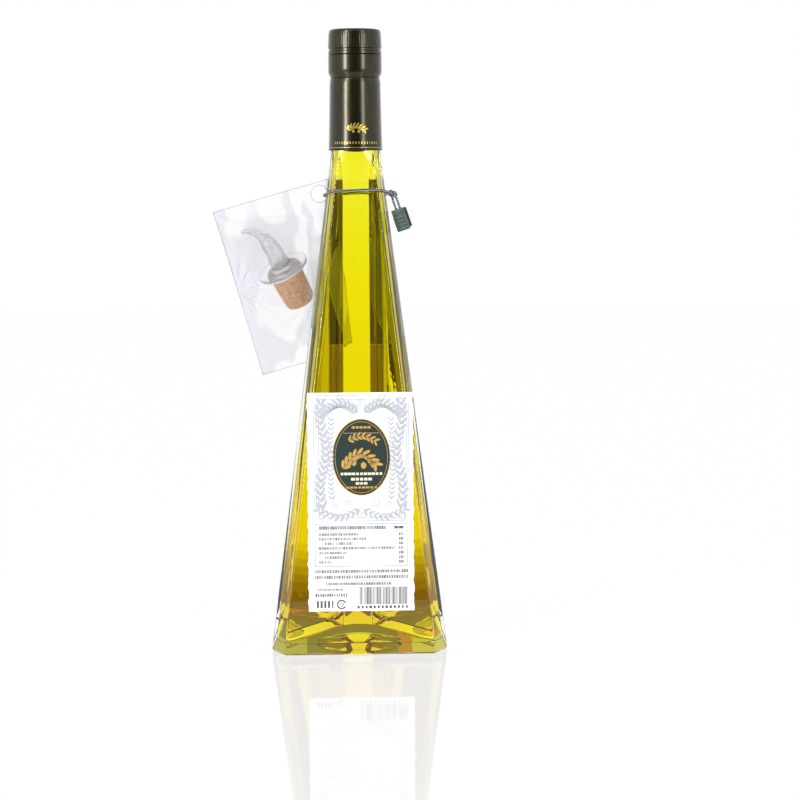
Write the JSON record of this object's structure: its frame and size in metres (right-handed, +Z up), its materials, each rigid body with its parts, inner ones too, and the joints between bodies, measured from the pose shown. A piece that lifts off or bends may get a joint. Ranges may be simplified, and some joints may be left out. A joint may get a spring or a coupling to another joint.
{
  "type": "olive oil bottle",
  "caption": "Tall three-sided tapered glass bottle of olive oil with a paper label, an aluminium screw cap and sleeve, and a neck cord that carries a seal and a clear bag with a pourer.",
  "frame": {"origin": "centre of the base, on the surface that the bottle stands on", "axes": "+Z up along the bottle's axis, the labelled face towards -Y, the bag towards -X"},
  "size_m": [0.1304, 0.0849, 0.35],
  "materials": {
    "clear_glass": "fire-polished clear glass",
    "oil": "clear yellow-green oil",
    "lacquered_aluminium": "dark olive metallic lacquer, satin",
    "label_paper": "uncoated white paper with matt print",
    "twisted_cord": "two-ply twisted cord, dark green and grey",
    "seal_plastic": "moulded grey-green plastic",
    "clear_film": "clear creased polypropylene film",
    "cork": "agglomerated cork",
    "pourer_plastic": "clear to frosted moulded plastic"
  },
  "bodies": {
    "root": {"bottle_glass": "clear_glass", "olive_oil": "oil", "screw_cap": "lacquered_aluminium", "capsule_sleeve": "lacquered_aluminium", "label": "label_paper", "neck_cord": "twisted_cord", "seal_cord_left": "twisted_cord", "seal_cord_right": "twisted_cord", "cord_knot": "twisted_cord", "cord_seal": "seal_plastic", "pourer_bag": "clear_film"}
  },
  "joints": []
}
